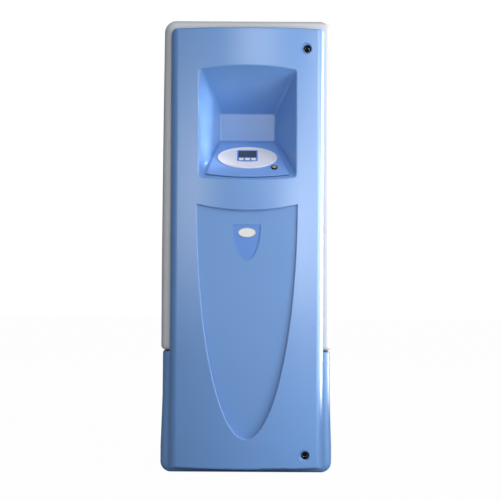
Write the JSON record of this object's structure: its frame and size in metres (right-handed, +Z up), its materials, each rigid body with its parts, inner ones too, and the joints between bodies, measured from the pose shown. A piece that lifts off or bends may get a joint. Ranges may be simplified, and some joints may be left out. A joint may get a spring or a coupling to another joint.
{
  "type": "ultrapure water system",
  "caption": "Floor-standing ultrapure water cabinet with a hinged blue door, funnel niche with sloping control console, pale cover, reservoir, pumps, filters and rear ports.",
  "frame": {"origin": "on the floor, under the middle of the cabinet", "axes": "+Z up, the door's front faces -Y, the door's hinge is on the -X side"},
  "size_m": [0.65, 0.76, 1.72],
  "materials": {
    "cover_grey": "light grey moulded cover, satin",
    "door_blue": "mid blue moulded door, satin",
    "base_blue": "mid blue moulded base, satin",
    "console_blue": "brighter blue console, satin",
    "bezel_lilac": "pale lilac grey bezel",
    "display_blue": "blue display frame",
    "display_dark": "dark display, off",
    "key_white": "white keys",
    "switch_black": "black switch ring",
    "switch_brass": "brass key barrel",
    "badge_blue": "saturated blue inlay",
    "badge_white": "bare white oval plate",
    "lock_metal": "plated lock barrel",
    "rubber_black": "black rubber",
    "steel_zinc": "zinc plated steel",
    "frame_grey": "grey painted frame",
    "panel_grey": "light grey painted panel",
    "tank_white": "white polyethylene tank",
    "vent_white": "white vent filter",
    "bowl_blue": "blue filter bowl",
    "head_black": "black filter head",
    "membrane_white": "white pressure tube",
    "pack_white": "white purification pack",
    "stainless": "stainless steel chamber",
    "clip_grey": "grey plastic clips",
    "motor_grey": "dark grey painted motor",
    "pump_brass": "brass pump head",
    "manifold_white": "machined plastic manifold",
    "valve_black": "black solenoid valves",
    "knob_blue": "blue regulator knob",
    "gauge_black": "black gauge case",
    "box_grey": "grey electronics box",
    "board_green": "green circuit board",
    "port_white": "white plastic fitting",
    "inlet_black": "black inlet",
    "rocker_green": "green rocker",
    "tube_white": "white water tube"
  },
  "bodies": {
    "cabinet": {"upper_cover": "cover_grey", "base_housing": "base_blue", "rear_panel": "panel_grey", "joint_gasket": "rubber_black", "door_seal": "rubber_black", "hinge_brackets": "steel_zinc", "base_deck": "steel_zinc", "frame_posts": "frame_grey", "frame_rails": "frame_grey", "component_plate": "panel_grey", "levelling_feet": "steel_zinc", "foot_pads": "rubber_black", "reservoir_tank": "tank_white", "tank_lid": "tank_white", "vent_filter": "vent_white", "level_sensor": "head_black", "prefilter_head": "head_black", "prefilter_bowl": "bowl_blue", "membrane_tubes": "membrane_white", "membrane_caps": "head_black", "pipe_clips": "clip_grey", "purification_packs": "pack_white", "pack_heads": "head_black", "uv_chamber": "stainless", "final_filter": "vent_white", "pump_motors": "motor_grey", "pump_heads": "pump_brass", "manifold_block": "manifold_white", "solenoid_valves": "valve_black", "regulator_body": "stainless", "pressure_gauge": "gauge_black", "electronics_box": "box_grey", "electronics_cover": "box_grey", "feed_port": "port_white", "drain_port": "port_white", "return_port": "port_white", "product_port": "port_white", "power_inlet": "inlet_black", "water_tubes": "tube_white"},
    "door": {"door_panel": "door_blue", "niche_tub": "door_blue", "door_rails": "door_blue", "lock_corners": "door_blue", "hinge_pins": "steel_zinc", "control_console": "console_blue", "control_bezel": "bezel_lilac", "display_frame": "display_blue", "display_window": "display_dark", "control_board": "board_green", "key_switch_bezel": "switch_black", "badge_panel": "badge_blue", "badge_plate": "badge_white"},
    "left_key": {"key_left": "key_white"},
    "middle_key": {"key_middle": "key_white"},
    "right_key": {"key_right": "key_white"},
    "console_lock": {"key_switch_barrel": "switch_brass"},
    "upper_lock": {"upper_lock_barrel": "lock_metal"},
    "lower_lock": {"lower_lock_barrel": "lock_metal"},
    "knob": {"regulator_knob": "knob_blue"},
    "rocker": {"power_rocker": "rocker_green"}
  },
  "joints": [
    {"name": "door_hinge", "type": "hinge", "parent": "cabinet", "child": "door", "pos_m": [-0.28, -0.321, 0.86], "axis": [0, 0, -1], "range_deg": [0, 105]},
    {"name": "left_key_press", "type": "slide", "parent": "door", "child": "left_key", "axis": [0, 0.6561, -0.7547], "range_m": [0, 0.0015], "stiffness_N_per_m": 300},
    {"name": "middle_key_press", "type": "slide", "parent": "door", "child": "middle_key", "axis": [0, 0.6561, -0.7547], "range_m": [0, 0.0015], "stiffness_N_per_m": 300},
    {"name": "right_key_press", "type": "slide", "parent": "door", "child": "right_key", "axis": [0, 0.6561, -0.7547], "range_m": [0, 0.0015], "stiffness_N_per_m": 300},
    {"name": "console_lock_turn", "type": "hinge", "parent": "door", "child": "console_lock", "pos_m": [0.1015, -0.33065, 1.15973], "axis": [0, -0.6561, 0.7547], "range_deg": [0, 90]},
    {"name": "upper_lock_turn", "type": "hinge", "parent": "door", "child": "upper_lock", "pos_m": [0.222, -0.31, 1.604], "axis": [0, 1, 0], "range_deg": [0, 90]},
    {"name": "lower_lock_turn", "type": "hinge", "parent": "door", "child": "lower_lock", "pos_m": [0.222, -0.31, 0.082], "axis": [0, 1, 0], "range_deg": [0, 90]},
    {"name": "regulator_turn", "type": "hinge", "parent": "cabinet", "child": "knob", "pos_m": [0.19, -0.11, 1.06], "axis": [0, 0, 1], "range_deg": [0, 330]},
    {"name": "rocker_tilt", "type": "hinge", "parent": "cabinet", "child": "rocker", "pos_m": [0.15, 0.348, 1.472], "axis": [1, 0, 0], "range_deg": [0, 18]}
  ]
}
